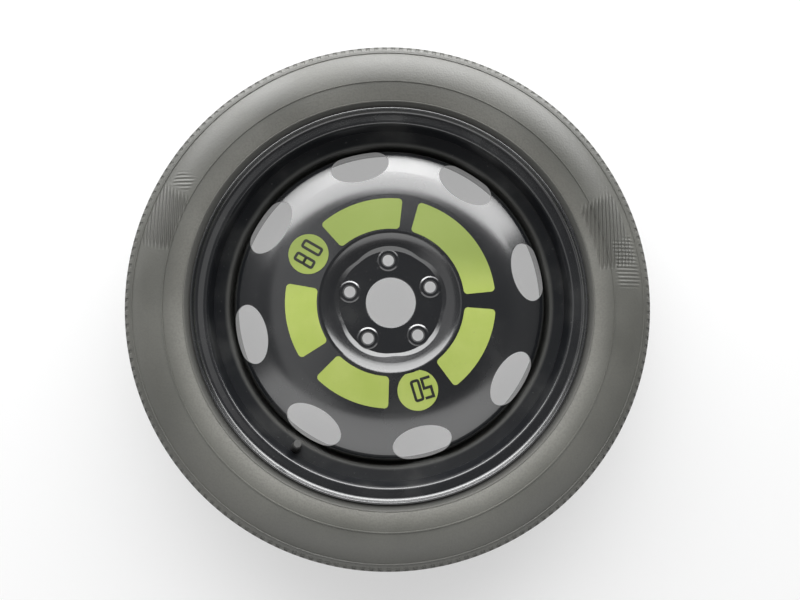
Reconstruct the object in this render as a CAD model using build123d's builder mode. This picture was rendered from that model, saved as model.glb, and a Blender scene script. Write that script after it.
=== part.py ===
"""Space-saver spare wheel: narrow tyre on a pressed steel wheel with a snap-in valve.

Millimetres. The wheel lies on its inboard sidewall: +Z is the wheel axis, out of the
outboard face, and the origin is on the axis at the floor.
"""

import math
import os

from build123d import *

os.makedirs("parts", exist_ok=True)

# Clearances
seat_gap = 0.15  # tyre bead to rim
weld_gap = 0.10  # disc to rim, and weld beads to rim
split_gap = 0.02  # bolt pad to the rest of the pressing
label_gap = 0.05  # stickers to the painted disc
bond_gap = 0.05  # pieces moulded or pressed together in the valve
slide_gap = 0.30  # pieces that move along the valve axis

# Tyre
tyre_radius = 336.6
section_width = 134.0
tread_half = 47.5
tread_drop = 3.8
sidewall_flatness = 18.3  # section height less the sidewall's arc radius
sidewall_sink = 8.45  # widest point below the middle of the section height
shoulder_drop = 15.1
bead_gap = 4.4  # open groove between the rim's lip and the sidewall
casing = 6.5
tread_thickness = 11.0
groove_depth = 5.2
groove_offsets = (13.0, 33.0)
groove_widths = (7.0, 5.0)

# Rim
mid_z = section_width / 2
bead_radius = 231.0
rim_width = 101.6
rim_sheet = 2.6
flange_height = 17.3
well_depth = 18.3
well_end = 17.0
lip_round = 1.1
flange_bend = 8.0
heel_bend = 6.0
lip_reach = 9.7
seat_taper = math.tan(math.radians(5))
seat_length = 18.8
hump_height = 1.1
flank_tilt = 21.0

# Disc
disc_sheet = 4.0
wheel_offset = 42.0
bore_radius = 31.7
bore_edge = 1.0
bolt_circle = 108.0
bolt_count = 5
bolt_radius = 7.25
bolt_start = 93.5
seat_radius = 8.9
boss_radius = 12.2
boss_height = 1.3
pad_depth = 0.8
pad_draft = 60.0  # sloped step round the pad, from upright
pad_step = 4.0
pad_radius = 79.7
pad_corner = 57.3
foot_run = 25.0  # dished wall, from its foot out to the crown
foot_bend = 8.0
dish_slope = 0.315
brim_run = 8.0  # steeper last stretch of the dish, up to the crown
brim_bend = 40.0
crown_radius = 89.0
crown_rise = 10.0
crown_bend = 6.0
cone_slope = 0.11
dome_inset = 55.0  # from the disc's outer radius, as the two below
dome_ease = 100.0  # from the disc's outer radius to the dome's bend radius
brow_inset = 10.0
brow_drop = 19.1
brow_bend = 14.0
corner_drop = 30.0
corner_bend = 14.0
weld_flange = 11.0
vent_count = 8
vent_start = 12.7
vent_inset = 27.3
vent_radial = 22.7
vent_tangent = 38.3

# Stickers
sticker_sheet = 0.25
sticker_inset = 3.8  # crown to the stickers' inner edge
sticker_width = 40.1
sticker_land = 3.0
sticker_corner = 5.0
speed_disc_radius = 25.5
speed_left_radius = 120.4  # where the two round stickers sit
speed_low_radius = 115.4

# Valve
valve_angle = 236.7
valve_hole = 5.75
insert_radius = 2.9
thread_radius = 3.85
rubber_top = 22.0
stem_top = 31.0
cap_radius = 5.0
cap_top = 33.6

# Heights and radii that follow from these
mount_z = mid_z + wheel_offset
hub_z = mount_z + disc_sheet
crown_z = hub_z + crown_rise
flange_z = rim_width / 2
rim_edge = bead_radius + flange_height
well_radius = bead_radius - well_depth
disc_radius = well_radius - rim_sheet - weld_gap
vent_circle = disc_radius - vent_inset
dome_bend = disc_radius - dome_ease
section_height = tyre_radius - rim_edge
sidewall_radius = section_height - sidewall_flatness
sidewall_mid = (tyre_radius + rim_edge) / 2 - sidewall_sink
shoulder_radius = tyre_radius - shoulder_drop
sticker_inner = crown_radius + sticker_inset
sticker_outer = sticker_inner + sticker_width


def cone_z(radius):
    """Height of the disc's straight outer cone at a radius."""
    return crown_z - (radius - crown_radius) * cone_slope


# Half sections are drawn as (radius, height above the wheel's mid-plane)
section = Plane(origin=(0, 0, mid_z), x_dir=(1, 0, 0), z_dir=(0, -1, 0))
# Full sections are drawn as (radius, height above the floor)
upright = Plane(origin=(0, 0, 0), x_dir=(1, 0, 0), z_dir=(0, -1, 0))


def sidewall_w(radius, arc_radius):
    """Height above the mid-plane of an arc that shares the sidewall's centre."""
    run = radius - sidewall_mid
    return mid_z - sidewall_radius + math.sqrt(arc_radius**2 - run**2)


# The tyre is one ring of rubber, open towards the rim, with straight tread grooves
follow = flange_bend + seat_gap
follow_r = rim_edge - flange_bend
follow_w = flange_z + flange_bend
leave = math.radians(50)
leave_point = (follow_r + follow * math.sin(leave), follow_w - follow * math.cos(leave))
side_start = rim_edge + bead_gap
inner_arc = sidewall_radius - casing
inner_low = side_start
inner_high = shoulder_radius - 5.5
toe_w = flange_z - 16.6
toe_r = bead_radius - (flange_z - toe_w) * seat_taper + seat_gap

with BuildPart() as tyre:
    with BuildSketch(section):
        with BuildLine():
            toe = (toe_r, toe_w)
            heel = (bead_radius + seat_gap, flange_z - seat_gap)
            face_top = (follow_r, flange_z - seat_gap)
            FilletPolyline(toe, heel, face_top, radius=heel_bend + 0.6)
            follow_turn = math.radians(25)
            ThreePointArc(
                face_top,
                (follow_r + follow * math.sin(follow_turn), follow_w - follow * math.cos(follow_turn)),
                leave_point,
            )
            side_low = (side_start, sidewall_w(side_start, sidewall_radius))
            side_high = (shoulder_radius, sidewall_w(shoulder_radius, sidewall_radius))
            Line(leave_point, side_low)
            ThreePointArc(side_low, (sidewall_mid, mid_z), side_high)
            tread_edge = (tyre_radius - tread_drop, tread_half)
            shoulder = ((shoulder_radius + tread_edge[0]) / 2 + 1.8, (side_high[1] + tread_half) / 2 + 1.6)
            ThreePointArc(side_high, shoulder, tread_edge)
            tread_mid = (tyre_radius - tread_drop / 4, tread_half / 2)
            ThreePointArc(tread_edge, tread_mid, (tyre_radius, 0))
            Line((tyre_radius, 0), (tyre_radius - tread_thickness, 0))
            tread_inner = (tyre_radius - tread_thickness - 1.2, tread_half - 10)
            Line((tyre_radius - tread_thickness, 0), tread_inner)
            inside_high = (inner_high, sidewall_w(inner_high, inner_arc))
            inside_low = (inner_low, sidewall_w(inner_low, inner_arc))
            Line(tread_inner, inside_high)
            ThreePointArc(inside_high, (sidewall_mid, mid_z - casing), inside_low)
            bead_inner = (bead_radius + 8.0, toe_w + 3.0)
            Polyline(inside_low, bead_inner, toe)
        make_face()
        mirror(about=Plane.XZ)
        for offset_w, width in zip(groove_offsets, groove_widths):
            floor_r = tyre_radius - tread_drop * (offset_w / tread_half) ** 2 - groove_depth
            with Locations((floor_r + 10, offset_w), (floor_r + 10, -offset_w)):
                Rectangle(20, width, mode=Mode.SUBTRACT)
    revolve(axis=Axis.Z)
tyre.part.label = "tyre"
export_step(tyre.part, "parts/tyre.step")

# The rim is one rolled sheet: lip, flange, bead seat, hump, drop well, and back again
seat_end_r = bead_radius - seat_length * seat_taper
seat_end_w = flange_z - seat_length
hump_r = seat_end_r + hump_height
hump_w = seat_end_w - 3.5
flank_slope = math.tan(math.radians(flank_tilt))
well_top_w = hump_w - (hump_r - well_radius) * flank_slope
well_low_w = -well_end
lip_w = flange_z + lip_reach

# The valve sits square to the outboard flank of the drop well
flank_dir = (-math.cos(math.radians(flank_tilt)), -math.sin(math.radians(flank_tilt)))
valve_run = 9.9
valve_r = hump_r + valve_run * flank_dir[0] + rim_sheet * flank_dir[1]
valve_w = hump_w + valve_run * flank_dir[1] - rim_sheet * flank_dir[0]
turn = math.radians(valve_angle)
outward = Vector(math.cos(turn), math.sin(turn), 0)
valve_origin = outward * valve_r + Vector(0, 0, mid_z + valve_w)
valve_dir = outward * flank_dir[1] + Vector(0, 0, -flank_dir[0])
valve_side = outward * -flank_dir[0] + Vector(0, 0, -flank_dir[1])
valve_section = Plane(origin=valve_origin, x_dir=valve_side, z_dir=valve_side.cross(valve_dir))
valve_base = Plane(origin=valve_origin, x_dir=valve_side, z_dir=valve_dir)
valve_axis = Axis(valve_origin, valve_dir)

with BuildPart() as rim:
    with BuildSketch(section):
        with BuildLine():
            FilletPolyline(
                (rim_edge, lip_w),
                (rim_edge, flange_z),
                (bead_radius, flange_z),
                (seat_end_r, seat_end_w),
                (hump_r, hump_w),
                (well_radius, well_top_w),
                (well_radius, well_low_w),
                (hump_r, -hump_w),
                (seat_end_r, -seat_end_w),
                (bead_radius, -flange_z),
                (rim_edge, -flange_z),
                (rim_edge, -lip_w),
                radius=[flange_bend, heel_bend, 4, 2.8, 3, 8, 4, 4, heel_bend, flange_bend],
            )
            offset(amount=rim_sheet, side=Side.RIGHT)
        make_face()
    revolve(axis=Axis.Z)
    with BuildSketch(valve_base):
        Circle(valve_hole)
    extrude(amount=4, both=True, mode=Mode.SUBTRACT)
    fillet(rim.edges().group_by(Axis.Z)[-1] + rim.edges().group_by(Axis.Z)[0], radius=lip_round)
rim.part.label = "rim"
export_step(rim.part, "parts/rim.step")

# The disc is one pressing: bolt pad, dished wall, crown, vented shoulder and weld flange
flange_end_z = mid_z - weld_flange
dome_r = disc_radius - dome_inset
dome_z = cone_z(dome_r)
brow_r = disc_radius - brow_inset
brow_z = dome_z - brow_drop
corner_z = brow_z - corner_drop
brim_z = hub_z + (foot_run - brim_run) * dish_slope

with BuildPart() as wheel_disc:
    with BuildSketch(upright):
        with BuildLine():
            FilletPolyline(
                (bore_radius, hub_z),
                (crown_radius - foot_run, hub_z),
                (crown_radius - brim_run, brim_z),
                (crown_radius, crown_z),
                (dome_r, dome_z),
                (brow_r, brow_z),
                (disc_radius, corner_z),
                (disc_radius, flange_end_z),
                radius=[foot_bend, brim_bend, crown_bend, dome_bend, brow_bend, corner_bend],
            )
            offset(amount=disc_sheet, side=Side.RIGHT)
        make_face()
    revolve(axis=Axis.Z)
    # Vents, pierced square to the wheel's face
    with BuildSketch(Plane.XY.offset(flange_end_z)):
        with PolarLocations(vent_circle, vent_count, start_angle=vent_start):
            Ellipse(vent_radial, vent_tangent)
    extrude(amount=section_width, mode=Mode.SUBTRACT)
    # Five-cornered bolt pad, sunk a little, its corners at the bolts and its edge a sloped step
    with BuildSketch(Plane.XY.offset(hub_z - pad_depth)) as pad:
        RegularPolygon(pad_radius, bolt_count, rotation=bolt_start)
        fillet(vertices(), radius=pad_corner)
    extrude(amount=pad_step, taper=-pad_draft, mode=Mode.SUBTRACT)
    # Rounded front edge of the centre bore
    rings = wheel_disc.edges().filter_by(GeomType.CIRCLE)
    bore_rings = rings.filter_by(lambda edge: abs(edge.radius - bore_radius) < 0.01)
    fillet(bore_rings.sort_by(Axis.Z)[-1], radius=bore_edge)
    # Raised bolt seats with 60 degree cones
    with PolarLocations(bolt_circle / 2, bolt_count, start_angle=bolt_start):
        with Locations((0, 0, hub_z - pad_depth)):
            Cone(boss_radius + 1.8, boss_radius, boss_height, align=(Align.CENTER, Align.CENTER, Align.MIN))
    with PolarLocations(bolt_circle / 2, bolt_count, start_angle=bolt_start):
        with Locations((0, 0, mount_z)):
            Cylinder(bolt_radius, 20, align=(Align.CENTER, Align.CENTER, Align.MIN), mode=Mode.SUBTRACT)
        seat_depth = (seat_radius - bolt_radius) / math.tan(math.radians(30))
        with Locations((0, 0, hub_z - pad_depth + boss_height - seat_depth)):
            Cone(
                bolt_radius,
                seat_radius,
                seat_depth,
                align=(Align.CENTER, Align.CENTER, Align.MIN),
                mode=Mode.SUBTRACT,
            )
    # The pressing is kept as two simple pieces that meet at the step round the bolt pad
    pad_core = extrude(pad.sketch, amount=section_width, both=True, mode=Mode.PRIVATE)
    pad_room = extrude(
        offset(pad.sketch, amount=split_gap, mode=Mode.PRIVATE),
        amount=section_width,
        both=True,
        mode=Mode.PRIVATE,
    )
    pressing = wheel_disc.part
    add(pad_room, mode=Mode.SUBTRACT)
wheel_disc.part.label = "wheel_disc"
export_step(wheel_disc.part, "parts/wheel_disc.step")

with BuildPart() as bolt_pad:
    add(pressing)
    add(pad_core, mode=Mode.INTERSECT)
bolt_pad.part.label = "bolt_pad"
export_step(bolt_pad.part, "parts/bolt_pad.step")

# Weld beads close the corner between the disc's flange and the rim, on the inboard side
weld_leg = 4.0
weld_arc = 26.0

with BuildPart() as disc_welds:
    with BuildSketch(upright):
        with BuildLine():
            Polyline(
                (disc_radius, flange_end_z - bond_gap),
                (disc_radius - disc_sheet + 0.4, flange_end_z - bond_gap),
                (disc_radius, flange_end_z - weld_leg),
                close=True,
            )
        make_face()
    bead = revolve(axis=Axis.Z, revolution_arc=weld_arc, mode=Mode.PRIVATE)
    with PolarLocations(0, vent_count, start_angle=vent_start - weld_arc / 2):
        add(bead)
disc_welds.part.label = "disc_welds"
export_step(disc_welds.part, "parts/disc_welds.step")

# Valve pieces are drawn as (radius from the valve's axis, height above the rim sheet)
neck_radius = valve_hole - 0.1
foot_radius = 7.3
bulge_radius = 6.9
foot_low = -10.0
core_radius = 2.65
seal_bore = 2.1
core_step = 24.0

with BuildPart() as valve_body:
    with BuildSketch(valve_section):
        with BuildLine():
            bore = insert_radius + bond_gap
            Polyline(
                (bore, foot_low),
                (6.2, foot_low),
                (foot_radius, -5.5),
                (foot_radius, -rim_sheet - seat_gap),
                (neck_radius, -rim_sheet - seat_gap),
                (neck_radius, seat_gap),
                (bulge_radius, seat_gap),
                (bulge_radius, 1.8),
                (5.2, 11.0),
                (4.6, rubber_top - 0.8),
                (4.0, rubber_top),
                (bore, rubber_top),
                close=True,
            )
        make_face()
    revolve(axis=valve_axis)
valve_body.part.label = "valve_body"
export_step(valve_body.part, "parts/valve_body.step")

# The brass insert carries the cap's thread outside and the core's seat inside
with BuildPart() as valve_stem:
    with BuildSketch(valve_section):
        with BuildLine():
            Polyline(
                (1.6, foot_low),
                (insert_radius, foot_low),
                (insert_radius, rubber_top + bond_gap),
                (thread_radius - 0.5, rubber_top + bond_gap),
                (thread_radius, rubber_top + 0.6),
                (thread_radius, stem_top - 0.5),
                (thread_radius - 0.5, stem_top),
                (core_radius, stem_top),
                (core_radius, core_step),
                (seal_bore, core_step - 1.0),
                (seal_bore, 12.0),
                (1.6, 11.0),
                close=True,
            )
        make_face()
    revolve(axis=valve_axis)
valve_stem.part.label = "valve_stem"
export_step(valve_stem.part, "parts/valve_stem.step")

# Core plug, screwed into the stem, with two key flats at the top
plug_low = 26.5
plug_top = 30.2
pin_radius = 0.45
head_radius = 0.75

with BuildPart() as core_plug:
    with BuildSketch(valve_section):
        with Locations(((core_radius - bond_gap + 1.1) / 2, (plug_low + plug_top) / 2)):
            Rectangle(core_radius - bond_gap - 1.1, plug_top - plug_low)
    revolve(axis=valve_axis)
    with BuildSketch(valve_base.offset(plug_top)):
        with Locations((2.9, 0), (-2.9, 0)):
            Rectangle(2.4, 6)
    extrude(amount=-1.6, mode=Mode.SUBTRACT)
core_plug.part.label = "core_plug"
export_step(core_plug.part, "parts/core_plug.step")

# Core barrel, a tube that holds the spring, open at both ends for the pin
barrel_low = 16.0
barrel_top = plug_low - bond_gap
barrel_radius = 1.7
barrel_bore = 1.3
pin_hole = pin_radius + slide_gap

with BuildPart() as core_barrel:
    with BuildSketch(valve_section):
        with BuildLine():
            Polyline(
                (pin_hole, barrel_low),
                (barrel_radius, barrel_low),
                (barrel_radius, barrel_top),
                (pin_hole, barrel_top),
                (pin_hole, barrel_top - 0.6),
                (barrel_bore, barrel_top - 0.6),
                (barrel_bore, barrel_low + 0.6),
                (pin_hole, barrel_low + 0.6),
                close=True,
            )
        make_face()
    revolve(axis=valve_axis)
core_barrel.part.label = "core_barrel"
export_step(core_barrel.part, "parts/core_barrel.step")

# Ring seal between the barrel and the stem
with BuildPart() as core_gasket:
    with BuildSketch(valve_section):
        gasket_in = barrel_radius + bond_gap
        gasket_out = seal_bore - bond_gap
        with Locations(((gasket_in + gasket_out) / 2, 20.5)):
            Rectangle(gasket_out - gasket_in, 2.4)
    revolve(axis=valve_axis)
core_gasket.part.label = "core_gasket"
export_step(core_gasket.part, "parts/core_gasket.step")

# Pin: pressing its head moves the cup off the barrel and lets air through
pin_top = stem_top - 0.5
collar_top = barrel_top - 0.6 - slide_gap
cup_top = barrel_low - slide_gap
cup_low = cup_top - 1.8
collar_radius = barrel_bore - slide_gap

with BuildPart() as core_pin:
    with BuildSketch(valve_section):
        with BuildLine():
            Polyline(
                (0, cup_low - 0.6),
                (pin_radius + 0.3, cup_low - 0.6),
                (pin_radius + 0.3, cup_low - bond_gap),
                (pin_radius, cup_low - bond_gap),
                (pin_radius, collar_top - 0.5),
                (collar_radius, collar_top - 0.5),
                (collar_radius, collar_top),
                (pin_radius, collar_top),
                (pin_radius, plug_top - 0.4),
                (head_radius, plug_top - 0.4),
                (head_radius, pin_top - 0.2),
                (head_radius - 0.2, pin_top),
                (0, pin_top),
                close=True,
            )
        make_face()
    revolve(axis=valve_axis)
core_pin.part.label = "core_pin"
export_step(core_pin.part, "parts/core_pin.step")

# Rubber-faced cup on the pin's lower end
with BuildPart() as core_cup:
    with BuildSketch(valve_section):
        cup_in = pin_radius + bond_gap
        cup_out = 1.5
        with Locations(((cup_in + cup_out) / 2, (cup_low + cup_top) / 2)):
            Rectangle(cup_out - cup_in, cup_top - cup_low)
    revolve(axis=valve_axis)
core_cup.part.label = "core_cup"
export_step(core_cup.part, "parts/core_cup.step")

# Spring between the barrel's lower end and the pin's collar
spring_wire = 0.13
spring_radius = 0.90
spring_low = barrel_low + 0.6 + bond_gap + spring_wire
spring_high = collar_top - 0.5 - bond_gap - spring_wire
spring_turns = 6
spring_origin = valve_origin + valve_dir * spring_low

with BuildPart() as core_spring:
    with BuildLine():
        coil = Helix(
            (spring_high - spring_low) / spring_turns,
            spring_high - spring_low,
            spring_radius,
            center=spring_origin,
            direction=valve_dir,
        )
    with BuildSketch(Plane(origin=coil @ 0, z_dir=coil % 0)):
        Circle(spring_wire)
    sweep(is_frenet=True)
core_spring.part.label = "core_spring"
export_step(core_spring.part, "parts/core_spring.step")

# Screw cap with finger grooves, and the seal in its top
cap_low = rubber_top + 0.6
cap_bore = thread_radius + slide_gap
cap_floor = stem_top + slide_gap + 0.8 + bond_gap
grip_count = 14

with BuildPart() as valve_cap:
    with BuildSketch(valve_section):
        with BuildLine():
            Polyline(
                (cap_bore, cap_low),
                (cap_radius, cap_low),
                (cap_radius, cap_top - 0.8),
                (cap_radius - 0.8, cap_top),
                (0, cap_top),
                (0, cap_floor),
                (cap_bore, cap_floor),
                close=True,
            )
        make_face()
    revolve(axis=valve_axis)
    with BuildSketch(valve_base.offset(cap_low + 1.6)):
        with PolarLocations(cap_radius + 0.25, grip_count):
            Circle(0.6)
    extrude(amount=cap_top - cap_low, mode=Mode.SUBTRACT)
valve_cap.part.label = "valve_cap"
export_step(valve_cap.part, "parts/valve_cap.step")

with BuildPart() as cap_seal:
    with BuildSketch(valve_base.offset(stem_top + slide_gap)):
        Circle(cap_bore - bond_gap)
    extrude(amount=0.8)
cap_seal.part.label = "cap_seal"
export_step(cap_seal.part, "parts/cap_seal.step")


def sticker_outline(start, end):
    """Ring sector with rounded corners, between two angles in degrees."""
    low, high = math.radians(start), math.radians(end)
    half = (low + high) / 2
    with BuildSketch() as outline:
        with BuildLine():
            corners = []
            for radius in (sticker_inner, sticker_outer):
                for angle in (low, half, high):
                    corners.append((radius * math.cos(angle), radius * math.sin(angle)))
            ThreePointArc(corners[0], corners[1], corners[2])
            Line(corners[2], corners[5])
            ThreePointArc(corners[5], corners[4], corners[3])
            Line(corners[3], corners[0])
        make_face()
        fillet(outline.vertices(), radius=sticker_corner)
    return outline.sketch


def speed_outline(angle, radius):
    """Round outline of a speed sticker."""
    turned = math.radians(angle)
    with BuildSketch() as outline:
        with Locations((radius * math.cos(turned), radius * math.sin(turned))):
            Circle(speed_disc_radius)
    return outline.sketch


# Stickers are thin sheets that lie on the disc's cone
land_r = crown_radius + sticker_land
fall_r = (dome_r + brow_r) / 2 + sticker_land
stickers = {
    "label_top_left": sticker_outline(83.5, 132.0),
    "label_top_right": sticker_outline(6.0, 74.3),
    "label_right": sticker_outline(-53.0, -4.0),
    "label_bottom_left": sticker_outline(225.0, 268.5),
    "label_left": sticker_outline(169.7, 212.0),
    "label_speed_left": speed_outline(149.7, speed_left_radius),
    "label_speed_low": speed_outline(286.9, speed_low_radius),
}

for sticker_name, outline in stickers.items():
    with BuildPart() as sticker:
        with BuildSketch(upright):
            with BuildLine():
                FilletPolyline(
                    (land_r, cone_z(land_r) + label_gap),
                    (dome_r, dome_z + label_gap),
                    (fall_r, dome_z + label_gap - brow_drop * (fall_r - dome_r) / (brow_r - dome_r)),
                    radius=dome_bend,
                )
                offset(amount=sticker_sheet, side=Side.LEFT)
            make_face()
        revolve(axis=Axis.Z)
        extrude(outline, amount=section_width + 20, dir=(0, 0, 1), mode=Mode.INTERSECT)
    sticker.part.label = sticker_name
    export_step(sticker.part, f"parts/{sticker_name}.step")
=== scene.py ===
"""Looks of the spare wheel: moulded tyre, painted steel, stickers and valve."""

import math

import bmesh
import bpy
from mathutils import Matrix, Vector


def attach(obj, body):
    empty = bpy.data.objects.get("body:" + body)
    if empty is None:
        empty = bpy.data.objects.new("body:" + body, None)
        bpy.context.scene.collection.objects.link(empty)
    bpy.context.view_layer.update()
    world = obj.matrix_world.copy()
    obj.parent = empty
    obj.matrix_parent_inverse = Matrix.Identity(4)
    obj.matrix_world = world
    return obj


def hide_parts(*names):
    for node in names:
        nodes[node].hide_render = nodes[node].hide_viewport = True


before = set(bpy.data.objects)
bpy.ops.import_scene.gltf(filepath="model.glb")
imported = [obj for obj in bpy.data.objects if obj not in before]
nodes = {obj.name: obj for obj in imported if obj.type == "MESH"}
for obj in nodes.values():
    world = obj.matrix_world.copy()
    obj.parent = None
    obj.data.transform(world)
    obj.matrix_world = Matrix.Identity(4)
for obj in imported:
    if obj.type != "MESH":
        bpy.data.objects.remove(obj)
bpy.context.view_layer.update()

scene = bpy.context.scene
MM = 0.001

# Sizes that the looks share with the construction, in millimetres
MID = 67.0
TYRE_RADIUS = 336.6
SIDE_CENTRE = (284.0, -3.0)
SIDE_RADIUS = 70.0
CASING = 6.5
CROWN_CENTRE = 37.8
GROOVES = ((9.5, 16.5), (30.5, 35.5))
GROOVE_DEPTH = 5.1
SHOULDER_CENTRE = (321.6, 44.2)
RIM_SHEET = 2.6
LIP_HEIGHT = 60.5
CONE_RADIUS, CONE_HEIGHT, CONE_SLOPE = 89.0, 123.0, 0.11
FIGURE_RISE = 0.36
VALVE_BASE = Vector((-120.939301, -184.112490, 94.379466))
VALVE_DIR = Vector((0.196752, 0.299527, 0.933580))

# Colours used more than once
PAINT_BLACK = (0.010, 0.011, 0.013)
DUST_AND_GAP_LIGHT = (0.30, 0.30, 0.28)


# Shader groups


def new_group(name, inputs, outputs):
    """Empty shader group with float inputs (name, default) and outputs (name, type)."""
    tree = bpy.data.node_groups.new(name, "ShaderNodeTree")
    for label, value in inputs:
        socket = tree.interface.new_socket(label, in_out="INPUT", socket_type="NodeSocketFloat")
        socket.default_value = value
    for label, kind in outputs:
        tree.interface.new_socket(label, in_out="OUTPUT", socket_type=kind)
    return tree, tree.nodes.new("NodeGroupInput"), tree.nodes.new("NodeGroupOutput")


def add_math(tree, operation, first, second=None):
    """Math node whose operands are sockets or numbers; returns its output."""
    node = tree.nodes.new("ShaderNodeMath")
    node.operation = operation
    for index, value in enumerate((first, second)):
        if isinstance(value, bpy.types.NodeSocket):
            tree.links.new(value, node.inputs[index])
        elif value is not None:
            node.inputs[index].default_value = value
    return node.outputs[0]


def add_range(tree, value, low, high, to_low=0.0, to_high=1.0):
    """Smooth ramp of a value from one span to another; returns its output."""
    node = tree.nodes.new("ShaderNodeMapRange")
    node.interpolation_type = "SMOOTHSTEP"
    for index, item in enumerate((value, low, high, to_low, to_high)):
        if isinstance(item, bpy.types.NodeSocket):
            tree.links.new(item, node.inputs[index])
        else:
            node.inputs[index].default_value = item
    return node.outputs[0]


def polar_group():
    """Radius in millimetres and turn in degrees about the wheel's axis."""
    outputs = [(name, "NodeSocketFloat") for name in ("Radius", "Turn")]
    tree, _, out = new_group("wheel_polar", [], outputs)
    coords = tree.nodes.new("ShaderNodeTexCoord")
    split = tree.nodes.new("ShaderNodeSeparateXYZ")
    tree.links.new(coords.outputs["Object"], split.inputs[0])
    x, y = split.outputs[:2]
    squares = [add_math(tree, "MULTIPLY", item, item) for item in (x, y)]
    length = add_math(tree, "SQRT", add_math(tree, "ADD", *squares))
    radius = add_math(tree, "MULTIPLY", length, 1000.0)
    turn = add_math(tree, "DEGREES", add_math(tree, "ARCTAN2", y, x))
    tree.links.new(radius, out.inputs["Radius"])
    tree.links.new(turn, out.inputs["Turn"])
    return tree


def speckle_group():
    """Mask from 0 to 1 of soft noise in object space."""
    inputs = [("Scale", 40.0), ("Detail", 5.0), ("Low", 0.4), ("High", 0.65)]
    tree, given, out = new_group("speckle", inputs, [("Mask", "NodeSocketFloat")])
    coords = tree.nodes.new("ShaderNodeTexCoord")
    noise = tree.nodes.new("ShaderNodeTexNoise")
    tree.links.new(coords.outputs["Object"], noise.inputs["Vector"])
    tree.links.new(given.outputs["Scale"], noise.inputs["Scale"])
    tree.links.new(given.outputs["Detail"], noise.inputs["Detail"])
    mask = add_range(tree, noise.outputs[0], given.outputs["Low"], given.outputs["High"])
    tree.links.new(mask, out.inputs["Mask"])
    return tree


POLAR = polar_group()
SPECKLE = speckle_group()


def use_group(tree, group, **values):
    """Group node with its inputs set."""
    node = tree.nodes.new("ShaderNodeGroup")
    node.node_tree = group
    for label, value in values.items():
        node.inputs[label].default_value = value
    return node


def new_material(name, colour, roughness, metallic=0.0, specular=0.5):
    """Material with its Principled shader set; returns it with its tree and shader."""
    material = bpy.data.materials.new(name)
    material.use_nodes = True
    tree = material.node_tree
    shader = tree.nodes["Principled BSDF"]
    shader.inputs["Base Color"].default_value = (*colour, 1.0)
    shader.inputs["Roughness"].default_value = roughness
    shader.inputs["Metallic"].default_value = metallic
    shader.inputs["Specular IOR Level"].default_value = specular
    return material, tree, shader


def mix_colour(tree, factor, first, second):
    """Mix of two colours, each a socket or an RGB triple, by a mask; returns its output."""
    node = tree.nodes.new("ShaderNodeMix")
    node.data_type = "RGBA"
    tree.links.new(factor, node.inputs["Factor"])
    for socket, value in ((node.inputs[6], first), (node.inputs[7], second)):
        if isinstance(value, bpy.types.NodeSocket):
            tree.links.new(value, socket)
        else:
            socket.default_value = (*value, 1.0)
    return node.outputs[2]


def add_bump(tree, shader, height, distance, strength=1.0):
    """Bump from a height value, its depth in metres."""
    node = tree.nodes.new("ShaderNodeBump")
    node.inputs["Strength"].default_value = strength
    node.inputs["Distance"].default_value = distance
    tree.links.new(height, node.inputs["Height"])
    tree.links.new(node.outputs[0], shader.inputs["Normal"])


def add_span(tree, value, low, high, edge):
    """Mask that is 1 inside a span and fades over its edges."""
    rise = add_range(tree, value, low, low + edge)
    fall = add_range(tree, value, high - edge, high, 1.0, 0.0)
    return add_math(tree, "MULTIPLY", rise, fall)


def tyre_material():
    """Rubber under a film of dust, with fine moulded serrations on two parts of the sidewall and
    painted shade in the crease beside the rim's lip.
    """
    material, tree, shader = new_material("tyre_rubber", (0.1, 0.1, 0.09), 0.6, specular=0.9)
    polar = use_group(tree, POLAR)
    radius, turn = polar.outputs["Radius"], polar.outputs["Turn"]
    cloud = use_group(tree, SPECKLE, Scale=7.0, Detail=7.0, Low=0.3, High=0.72).outputs[0]
    grain = use_group(tree, SPECKLE, Scale=420.0, Detail=3.0, Low=0.35, High=0.7).outputs[0]
    outer = mix_colour(tree, cloud, (0.090, 0.091, 0.080), (0.127, 0.127, 0.112))
    inner = add_range(tree, radius, 250.0, 257.0, 0.35, 1.0)
    bead = add_math(tree, "MULTIPLY", inner, add_range(tree, radius, 258.0, 281.0, 1.0, 0.0))
    dusty = mix_colour(tree, cloud, (0.162, 0.160, 0.143), (0.204, 0.202, 0.181))
    colour = mix_colour(tree, bead, outer, dusty)
    pores = add_math(tree, "MULTIPLY", grain, 0.28)
    colour = mix_colour(tree, pores, colour, (0.075, 0.075, 0.068))
    # Painted shade: a dark ring in the crease between the sidewall and the rim's lip
    painted_crease_shade = add_range(tree, radius, 252.5, 258.5, 0.9, 0.0)
    colour = mix_colour(tree, painted_crease_shade, colour, (0.05, 0.05, 0.046))
    tread = add_range(tree, radius, 327.0, 333.0, 0.0, 0.5)
    colour = mix_colour(tree, tread, colour, (0.06, 0.06, 0.055))
    tree.links.new(colour, shader.inputs["Base Color"])
    crease = add_range(tree, radius, 253.0, 259.0, 0.95, 0.0)
    rough = add_math(tree, "MAXIMUM", add_range(tree, cloud, 0.0, 1.0, 0.42, 0.55), crease)
    tree.links.new(rough, shader.inputs["Roughness"])
    hatch = add_serrations(tree, radius, turn)
    height = add_math(tree, "ADD", hatch, add_math(tree, "MULTIPLY", grain, 0.12))
    add_bump(tree, shader, height, 0.0006)
    return material


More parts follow.
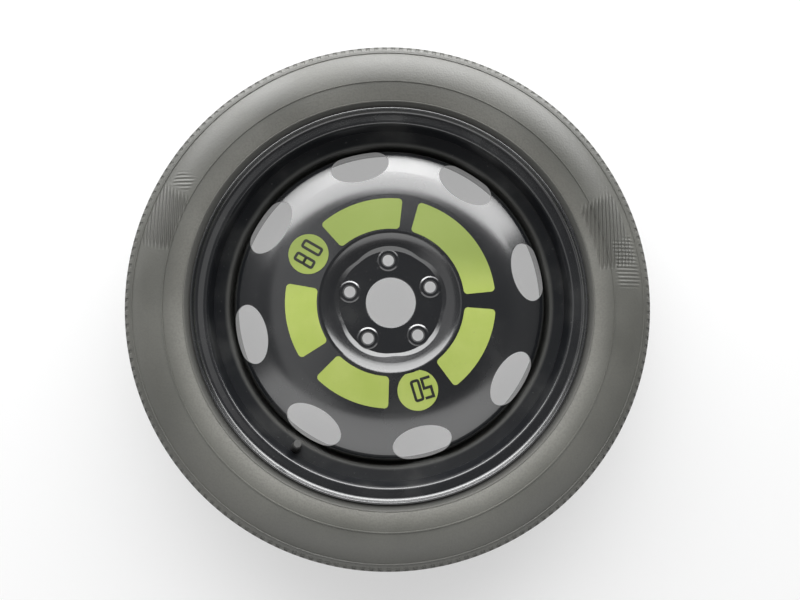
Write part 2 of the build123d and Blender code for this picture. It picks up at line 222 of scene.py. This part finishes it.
def add_serrations(tree, radius, turn):
    """Two crossing sets of fine ribs on opposite parts of the sidewall."""
    pitch, turn_edge, radius_edge = 0.0048, 2.4, 5.0
    coords = tree.nodes.new("ShaderNodeTexCoord")
    split = tree.nodes.new("ShaderNodeSeparateXYZ")
    tree.links.new(coords.outputs["Object"], split.inputs[0])
    waves = []
    for axis, depth in ((0, 1.9), (1, 0.5)):
        phase = add_math(tree, "MULTIPLY", split.outputs[axis], 2 * math.pi / pitch)
        waves.append(add_math(tree, "MULTIPLY", add_math(tree, "SINE", phase), depth))
    total = None
    # Turns in degrees and radii in millimetres of the ribs along Y and of those along X
    for along, across in (
        (((8.0, 27.0), (263.0, 314.0)), ((2.5, 16.5), (284.0, 318.0))),
        (((152.0, 167.5), (277.0, 320.0)), ((147.0, 152.5), (284.0, 312.0))),
    ):
        for wave, (turns, radii) in zip(waves, (along, across)):
            zone = add_math(
                tree,
                "MULTIPLY",
                add_span(tree, turn, *turns, turn_edge),
                add_span(tree, radius, *radii, radius_edge),
            )
            ribs = add_math(tree, "MULTIPLY", zone, wave)
            total = ribs if total is None else add_math(tree, "ADD", total, ribs)
    return total


def paint_material(name, specular, coat, smooth, dull, dust):
    """Black paint with a fine ripple, small marks and dust, and a paler band painted in as light
    over the shaded gap where disc and rim meet.
    """
    material, tree, shader = new_material(name, PAINT_BLACK, 0.3, specular=specular)
    film = use_group(tree, SPECKLE, Scale=14.0, Detail=8.0, Low=0.42, High=0.8).outputs[0]
    marks = use_group(tree, SPECKLE, Scale=260.0, Detail=2.0, Low=0.68, High=0.76).outputs[0]
    ripple = use_group(tree, SPECKLE, Scale=900.0, Detail=2.0, Low=0.2, High=0.8).outputs[0]
    dusty = add_math(tree, "MULTIPLY", film, dust)
    colour = mix_colour(tree, dusty, PAINT_BLACK, DUST_AND_GAP_LIGHT)
    # Painted light: a paler band in the dust colour over the shaded gap where disc and rim meet,
    # lifting its shadow
    corner = add_span(tree, use_group(tree, POLAR).outputs["Radius"], 199.0, 216.0, 6.0)
    colour = mix_colour(tree, add_math(tree, "MULTIPLY", corner, 0.3), colour, DUST_AND_GAP_LIGHT)
    scuffs = add_math(tree, "MULTIPLY", marks, 0.2)
    colour = mix_colour(tree, scuffs, colour, (0.20, 0.20, 0.19))
    tree.links.new(colour, shader.inputs["Base Color"])
    tree.links.new(add_range(tree, film, 0.0, 1.0, smooth, dull), shader.inputs["Roughness"])
    shader.inputs["Coat Weight"].default_value = coat
    shader.inputs["Coat IOR"].default_value = 1.7
    shader.inputs["Coat Roughness"].default_value = 0.2
    add_bump(tree, shader, ripple, 0.00001, 0.5)
    return material


def sticker_material():
    """Faded yellow-green vinyl with some grime, deeper in colour towards the wheel's top."""
    material, tree, shader = new_material("sticker", (0.47, 0.56, 0.16), 0.5, specular=0.25)
    fade = use_group(tree, SPECKLE, Scale=25.0, Detail=6.0, Low=0.3, High=0.75).outputs[0]
    grime = use_group(tree, SPECKLE, Scale=330.0, Detail=4.0, Low=0.62, High=0.8).outputs[0]
    colour = mix_colour(tree, fade, (0.405, 0.500, 0.112), (0.455, 0.540, 0.145))
    colour = mix_colour(tree, add_math(tree, "MULTIPLY", grime, 0.3), colour, (0.25, 0.27, 0.14))
    coords = tree.nodes.new("ShaderNodeTexCoord")
    split = tree.nodes.new("ShaderNodeSeparateXYZ")
    tree.links.new(coords.outputs["Object"], split.inputs[0])
    upper = add_range(tree, split.outputs[1], 0.0, 0.07, 0.0, 0.75)
    colour = mix_colour(tree, upper, colour, (0.20, 0.26, 0.07))
    tree.links.new(colour, shader.inputs["Base Color"])
    return material


def plain_material(name, colour, roughness, metallic=0.0, speckle=0.0):
    """Simple material with some mottling of its colour and roughness."""
    material, tree, shader = new_material(name, colour, roughness, metallic)
    mask = use_group(tree, SPECKLE, Scale=300.0, Detail=4.0, Low=0.35, High=0.7).outputs[0]
    dark = tuple(channel * (1.0 - speckle) for channel in colour)
    tree.links.new(mix_colour(tree, mask, colour, dark), shader.inputs["Base Color"])
    rough = add_range(tree, mask, 0.0, 1.0, roughness, min(1.0, roughness + 0.12))
    tree.links.new(rough, shader.inputs["Roughness"])
    return material


TYRE = tyre_material()
PAINT = paint_material(
    "black_paint", specular=1.0, coat=1.0, smooth=0.22, dull=0.34, dust=0.045
)
BARREL_PAINT = paint_material(
    "barrel_paint", specular=0.25, coat=0.0, smooth=0.36, dull=0.46, dust=0.11
)
STICKER = sticker_material()
FIGURE_BLACK = plain_material("figure_black", (0.018, 0.018, 0.016), 0.45)
VALVE_RUBBER = plain_material("valve_rubber", (0.035, 0.035, 0.034), 0.62, speckle=0.3)
SEAL_RUBBER = plain_material("seal_rubber", (0.05, 0.05, 0.05), 0.7, speckle=0.2)
BRASS = plain_material("brass", (0.72, 0.55, 0.28), 0.28, metallic=1.0, speckle=0.2)
SPRING_STEEL = plain_material("spring_steel", (0.55, 0.55, 0.56), 0.25, metallic=1.0, speckle=0.1)
CAP_PLASTIC = plain_material("cap_plastic", (0.085, 0.085, 0.082), 0.48, speckle=0.25)

NODE_MATERIALS = {
    "rim": PAINT,
    "wheel_disc": PAINT,
    "bolt_pad": PAINT,
    "disc_welds": PAINT,
    "valve_body": VALVE_RUBBER,
    "valve_stem": BRASS,
    "core_plug": BRASS,
    "core_barrel": BRASS,
    "core_gasket": SEAL_RUBBER,
    "core_pin": BRASS,
    "core_cup": SEAL_RUBBER,
    "core_spring": SPRING_STEEL,
    "valve_cap": CAP_PLASTIC,
    "cap_seal": SEAL_RUBBER,
}
for node_name, node in nodes.items():
    material = STICKER if node_name.startswith("label_") else NODE_MATERIALS.get(node_name)
    if material:
        node.data.materials.clear()
        node.data.materials.append(material)


# Meshes


def make_piece(name, bm, material, body, sharp=35.0):
    """Object from a bmesh, smooth but for its sharp edges, riding a body."""
    bmesh.ops.remove_doubles(bm, verts=bm.verts, dist=1e-7)
    bmesh.ops.recalc_face_normals(bm, faces=bm.faces)
    mesh = bpy.data.meshes.new(name)
    bm.to_mesh(mesh)
    bm.free()
    mesh.materials.append(material)
    mesh.polygons.foreach_set("use_smooth", [True] * len(mesh.polygons))
    mesh.set_sharp_from_angle(angle=math.radians(sharp))
    piece = bpy.data.objects.new(name, mesh)
    scene.collection.objects.link(piece)
    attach(piece, body)
    return piece


class Pen:
    """Draws a wheel's half section, as radius and height above the mid-plane."""

    def __init__(self, radius, height):
        self.bm = bmesh.new()
        self.tip = self.bm.verts.new((radius * MM, 0, (MID + height) * MM))

    def line(self, radius, height):
        """Straight line to a point."""
        self.tip = bmesh.ops.extrude_vert_indiv(self.bm, verts=[self.tip])["verts"][0]
        self.tip.co = (radius * MM, 0, (MID + height) * MM)

    def arc(self, centre, angle, steps):
        """Arc about a centre, in degrees; positive turns from up towards outwards."""
        made = bmesh.ops.spin(
            self.bm,
            geom=[self.tip],
            cent=(centre[0] * MM, 0, (MID + centre[1]) * MM),
            axis=(0, 1, 0),
            angle=math.radians(angle),
            steps=steps,
        )
        self.tip = [item for item in made["geom_last"] if isinstance(item, bmesh.types.BMVert)][0]

    def at(self):
        """Where the pen stands."""
        return self.tip.co.x / MM, self.tip.co.z / MM - MID

    def ridge(self, centre, angle, height):
        """Moulded rib that stands out from an arc about a centre, with sloped flanks."""
        slope = 0.3
        start = Vector(self.at()) - Vector(centre)
        turn = math.copysign(math.radians(slope), angle)
        rise = Matrix.Rotation(-turn, 2) @ start * (1 + height / start.length)
        self.line(centre[0] + rise.x, centre[1] + rise.y)
        self.arc(centre, angle - math.copysign(2 * slope, angle), 3)
        end = Matrix.Rotation(-math.radians(angle), 2) @ start
        self.line(centre[0] + end.x, centre[1] + end.y)


def side_point(turn, radius=SIDE_RADIUS):
    """Point of the sidewall's arc, its turn in degrees outwards from straight up."""
    angle = math.radians(turn)
    return SIDE_CENTRE[0] + radius * math.sin(angle), SIDE_CENTRE[1] + radius * math.cos(angle)


def tread_point(height):
    """Point of the crown's arc at a height above the mid-plane."""
    reach = TYRE_RADIUS - CROWN_CENTRE
    return CROWN_CENTRE + math.sqrt(reach**2 - height**2), height


def draw_tyre():
    """Half section of the tyre, from the crown over the sidewall and bead to the inside."""
    pen = Pen(TYRE_RADIUS, 0)
    for start, end in GROOVES:
        for step in (0.5, 1.0):
            low = pen.at()[1]
            pen.line(*tread_point(low + (start - low) * step))
        near, far = tread_point(start), tread_point(end)
        pen.line(near[0] - GROOVE_DEPTH, start + 0.5)
        pen.line(far[0] - GROOVE_DEPTH, end - 0.5)
        pen.line(*far)
    for height in (38.5, 43.0, 47.4):
        pen.line(*tread_point(height))
    # Shoulder, in bands that the slots fit
    for turn, steps in ((-24.0, 3), (-32.0, 2), (-17.5, 2)):
        pen.arc(SHOULDER_CENTRE, turn, steps)
    # Sidewall with its ribs
    pen.line(*side_point(32.0))
    pen.ridge(SIDE_CENTRE, -1.3, 0.9)
    pen.arc(SIDE_CENTRE, -33.6, 24)
    pen.ridge(SIDE_CENTRE, -1.5, 0.7)
    pen.arc(SIDE_CENTRE, -18.6, 14)
    pen.ridge(SIDE_CENTRE, -1.6, 0.8)
    # Bead, from the crease behind the rim's flange to its toe
    pen.line(*side_point(-26.5))
    pen.line(246.54, 53.56)
    pen.arc((240.3, 58.8), 50.0, 8)
    pen.line(231.2, 44.0)
    pen.line(229.7, 34.2)
    # Inside of the casing
    pen.line(239.0, 37.2)
    pen.line(*side_point(-29.5, SIDE_RADIUS - CASING))
    pen.arc(SIDE_CENTRE, 59.8, 10)
    pen.line(324.4, 37.5)
    pen.line(TYRE_RADIUS - 11.0, 0)
    return pen.bm


def spin_round(bm, steps):
    """Turns a section once round the wheel's axis."""
    bmesh.ops.spin(
        bm,
        geom=bm.verts[:] + bm.edges[:],
        cent=(0, 0, 0),
        axis=(0, 0, 1),
        angle=2 * math.pi,
        steps=steps,
        use_merge=True,
    )


def build_tyre():
    """Tyre with straight grooves and a ring of slots on each shoulder."""
    steps = 384
    bm = draw_tyre()
    middle = Matrix.Translation((0, 0, -MID * MM))
    bmesh.ops.mirror(bm, geom=bm.verts[:] + bm.edges[:], matrix=middle, merge_dist=1e-6, axis="Z")
    spin_round(bm, steps)
    bmesh.ops.remove_doubles(bm, verts=bm.verts, dist=1e-7)
    bmesh.ops.recalc_face_normals(bm, faces=bm.faces)
    # Every other face round the shoulder is pressed in as a slot
    slots = []
    for face in bm.faces:
        centre = face.calc_center_median()
        radius, height = centre.xy.length / MM, abs(centre.z / MM - MID)
        column = math.floor(math.atan2(centre.y, centre.x) / (2 * math.pi) * steps)
        if column % 2 and 324.5 < radius < 331.2 and 50.0 < height < 55.2:
            slots.append(face)
    bmesh.ops.inset_region(
        bm,
        faces=slots,
        thickness=0.8 * MM,
        depth=-1.3 * MM,
        use_even_offset=True,
        use_boundary=True,
    )
    piece = make_piece("tyre_moulded", bm, TYRE, "wheel", 30.0)
    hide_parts("tyre")


build_tyre()


def draw_rounded(pen, points, bends):
    """Lines through points, with each corner between the first and last rounded."""
    for before, corner, after, bend in zip(points, points[1:], points[2:], bends):
        corner = Vector(corner)
        back = (Vector(before) - corner).normalized()
        ahead = (Vector(after) - corner).normalized()
        turned = math.pi - back.angle(ahead)
        run = bend * math.tan(turned / 2)
        centre = corner + (back + ahead).normalized() * math.hypot(bend, run)
        pen.line(*(corner + back * run))
        sign = 1.0 if back.x * ahead.y - back.y * ahead.x > 0 else -1.0
        pen.arc(centre, sign * math.degrees(turned), max(3, round(math.degrees(turned) / 8)))
    pen.line(*points[-1])


def build_rim():
    """Rolled rim: one sheet from lip to lip, with rounded lip edges and a duller barrel."""
    barrel_radius = 230.6
    # Lip, flange, bead seat and hump on one side; the other side mirrors them
    half = [(248.3, LIP_HEIGHT), (248.3, 50.8), (231.0, 50.8), (229.355, 32.0), (230.455, 28.5)]
    points = half + [(212.7, 21.685), (212.7, -17.0)]
    points += [(radius, -height) for radius, height in reversed(half)]
    bends = [8.0, 3.6, 4.0, 2.8, 3.0, 8.0, 3.2, 4.0, 3.6, 8.0]
    pen = Pen(*points[0])
    draw_rounded(pen, points, bends)
    bm = pen.bm
    spin_round(bm, 288)
    bmesh.ops.remove_doubles(bm, verts=bm.verts, dist=1e-7)
    bmesh.ops.recalc_face_normals(bm, faces=bm.faces)
    bmesh.ops.solidify(bm, geom=bm.faces[:], thickness=RIM_SHEET * MM)
    ends = [
        edge
        for edge in bm.edges
        if all(abs(abs(vert.co.z / MM - MID) - LIP_HEIGHT) < 0.05 for vert in edge.verts)
        and abs(edge.verts[0].co.xy.length - edge.verts[1].co.xy.length) < 0.1 * MM
    ]
    bmesh.ops.bevel(
        bm, geom=ends, offset=1.1 * MM, segments=4, profile=0.5, affect="EDGES", material=-1
    )
    for face in bm.faces:
        if face.calc_center_median().xy.length < barrel_radius * MM:
            face.material_index = 1
    piece = make_piece("rim_rolled", bm, PAINT, "wheel", 40.0)
    piece.data.materials.append(BARREL_PAINT)
    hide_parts("rim")


build_rim()


def add_bar(bm, centre, size):
    """Flat bar of a figure."""
    shape = Matrix.Translation((*centre, 0)) @ Matrix.Diagonal((*size, 1.0, 1.0))
    bmesh.ops.create_grid(bm, x_segments=1, y_segments=1, size=0.5, matrix=shape)


def add_loop(bm, centre, size, stroke):
    """Upright loop of a figure, with rounded corners."""
    loop = bmesh.new()
    add_bar(loop, centre, size)
    bmesh.ops.bevel(
        loop,
        geom=loop.verts[:],
        offset=min(size) * 0.3,
        segments=5,
        profile=0.5,
        affect="VERTICES",
        material=-1,
    )
    bmesh.ops.inset_region(
        loop, faces=loop.faces[:], thickness=stroke, use_even_offset=True, use_boundary=True
    )
    within = Vector((*centre, 0))
    middle = min(loop.faces, key=lambda face: (face.calc_center_median() - within).length)
    bmesh.ops.delete(loop, geom=[middle], context="FACES_ONLY")
    held = bpy.data.meshes.new("loop")
    loop.to_mesh(held)
    loop.free()
    bm.from_mesh(held)
    bpy.data.meshes.remove(held)


def draw_speed(name, first, radius, turn, pitch, shift):
    """Two tall block figures on a round sticker, their tops towards the wheel's edge.

    The sticker's middle is given by its radius and turn; the figures stand a pitch apart and
    are shifted along the sticker, in millimetres.
    """
    width, tall, stroke = 12.4, 28.5, 3.5
    bm = bmesh.new()
    left, right = shift - pitch / 2, shift + pitch / 2
    add_loop(bm, (right, 0), (width, tall), stroke)
    if first == 8:
        for side in (-1, 1):
            add_loop(bm, (left, side * (tall - stroke) / 4), (width, (tall + stroke) / 2), stroke)
    else:
        reach = (tall - stroke) / 2
        for level in (-reach, 0, reach):
            add_bar(bm, (left, level), (width, stroke))
        for side, level in ((-1, reach / 2), (1, -reach / 2)):
            add_bar(bm, (left + side * (width - stroke) / 2, level), (stroke, reach - stroke))
    bmesh.ops.remove_doubles(bm, verts=bm.verts, dist=1e-4)
    angle = math.radians(turn)
    height = CONE_HEIGHT - (radius - CONE_RADIUS) * CONE_SLOPE + FIGURE_RISE
    spot = Vector((radius * math.cos(angle), radius * math.sin(angle), height))
    place = (
        Matrix.Translation(spot * MM)
        @ Matrix.Rotation(angle - math.pi / 2, 4, "Z")
        @ Matrix.Rotation(-math.atan(CONE_SLOPE), 4, "X")
        @ Matrix.Scale(MM, 4)
    )
    bmesh.ops.transform(bm, matrix=place, verts=bm.verts)
    make_piece(name, bm, FIGURE_BLACK, "wheel")


draw_speed("speed_figures_left", first=8, radius=120.4, turn=149.7, pitch=18.4, shift=0.0)
draw_speed("speed_figures_low", first=5, radius=115.4, turn=286.9, pitch=13.6, shift=-5.8)


def build_thread():
    """Screw thread on the valve stem, seen once the cap is off."""
    across = VALVE_DIR.orthogonal().normalized()
    bm = bmesh.new()
    pitch, root, crest = 0.79 * MM, 3.80, 4.02
    turns, steps = 9, 32
    start = VALVE_BASE * MM + VALVE_DIR * 23.0 * MM
    corners = [
        bm.verts.new(start + across * reach * MM + VALVE_DIR * rise * pitch)
        for reach, rise in ((root, 0.0), (crest, 0.42), (crest, 0.50), (root, 0.92))
    ]
    outline = [bm.edges.new((corners[i], corners[i + 1])) for i in range(3)]
    bmesh.ops.spin(
        bm,
        geom=corners + outline,
        cent=start,
        axis=VALVE_DIR,
        dvec=VALVE_DIR * pitch / steps,
        angle=2 * math.pi * turns,
        steps=steps * turns,
    )
    make_piece("stem_thread", bm, BRASS, "wheel")


build_thread()


# Floor, light and camera


def build_floor():
    """Pale floor that goes on past the picture's edges, with a faint glow of its own."""
    glow_share = 0.38
    bm = bmesh.new()
    bmesh.ops.create_grid(bm, x_segments=1, y_segments=1, size=6.0)
    mesh = bpy.data.meshes.new("floor")
    bm.to_mesh(mesh)
    bm.free()
    material, tree, shader = new_material("floor_pale", (0.93, 0.93, 0.93), 0.9, specular=0.1)
    path = tree.nodes.new("ShaderNodeLightPath")
    seen = add_math(tree, "ADD", path.outputs["Is Camera Ray"], path.outputs["Is Glossy Ray"])
    seen = add_math(tree, "ADD", seen, path.outputs["Is Transmission Ray"])
    glow = tree.nodes.new("ShaderNodeEmission")
    blend = tree.nodes.new("ShaderNodeMixShader")
    tree.links.new(add_math(tree, "MULTIPLY", seen, glow_share), blend.inputs["Fac"])
    tree.links.new(shader.outputs[0], blend.inputs[1])
    tree.links.new(glow.outputs[0], blend.inputs[2])
    tree.links.new(blend.outputs[0], tree.nodes["Material Output"].inputs["Surface"])
    mesh.materials.append(material)
    floor = bpy.data.objects.new("floor", mesh)
    scene.collection.objects.link(floor)


build_floor()


LAMP_AIM = Vector((0.0, 0.0, 0.1))


def add_lamp(name, place, size, power):
    """Soft rectangular lamp that points at the wheel."""
    lamp = bpy.data.lights.new(name, "AREA")
    lamp.shape = "RECTANGLE"
    lamp.size, lamp.size_y = size
    lamp.energy = power
    holder = bpy.data.objects.new(name, lamp)
    holder.location = place
    holder.rotation_mode = "QUATERNION"
    holder.rotation_quaternion = (LAMP_AIM - Vector(place)).to_track_quat("-Z", "Y")
    scene.collection.objects.link(holder)


add_lamp("key", (0.0, 1.86, 1.62), (5.6, 1.35), 86.0)
add_lamp("low", (0.0, 2.5, 0.8), (4.6, 0.9), 96.0)
add_lamp("left", (-2.5, 0.3, 0.6), (3.0, 0.8), 5.0)
add_lamp("fill", (0.0, -0.925, 0.78), (3.0, 0.8), 7.2)
add_lamp("high", (-1.0, 0.0, 2.05), (2.2, 0.95), 2.3)


def build_world():
    """Even sky that is darker overhead, so that the flat paint stays black."""
    world = bpy.data.worlds.new("studio")
    scene.world = world
    world.use_nodes = True
    sky = world.node_tree
    background = sky.nodes["Background"]
    toward = sky.nodes.new("ShaderNodeTexCoord")
    parts = sky.nodes.new("ShaderNodeSeparateXYZ")
    sky.links.new(toward.outputs["Generated"], parts.inputs[0])
    background.inputs["Color"].default_value = (1.0, 1.0, 1.0, 1.0)
    level = add_range(sky, parts.outputs["Z"], 0.55, 0.95, 0.145, 0.085)
    sky.links.new(level, background.inputs["Strength"])


def place_camera():
    """Camera almost straight above the wheel, as in the photograph."""
    camera = bpy.data.cameras.new("camera")
    camera.lens = 26.0
    camera.sensor_width = 36.0
    camera.clip_start = 0.01
    holder = bpy.data.objects.new("camera", camera)
    holder.matrix_world = (
        Matrix.Translation((-0.0099, -0.0423, 0.846))
        @ Matrix.Rotation(math.radians(3.54), 4, "X")
        @ Matrix.Rotation(math.radians(-1.68), 4, "Y")
    )
    scene.collection.objects.link(holder)
    scene.camera = holder


build_world()
place_camera()
scene.view_settings.view_transform = "Standard"
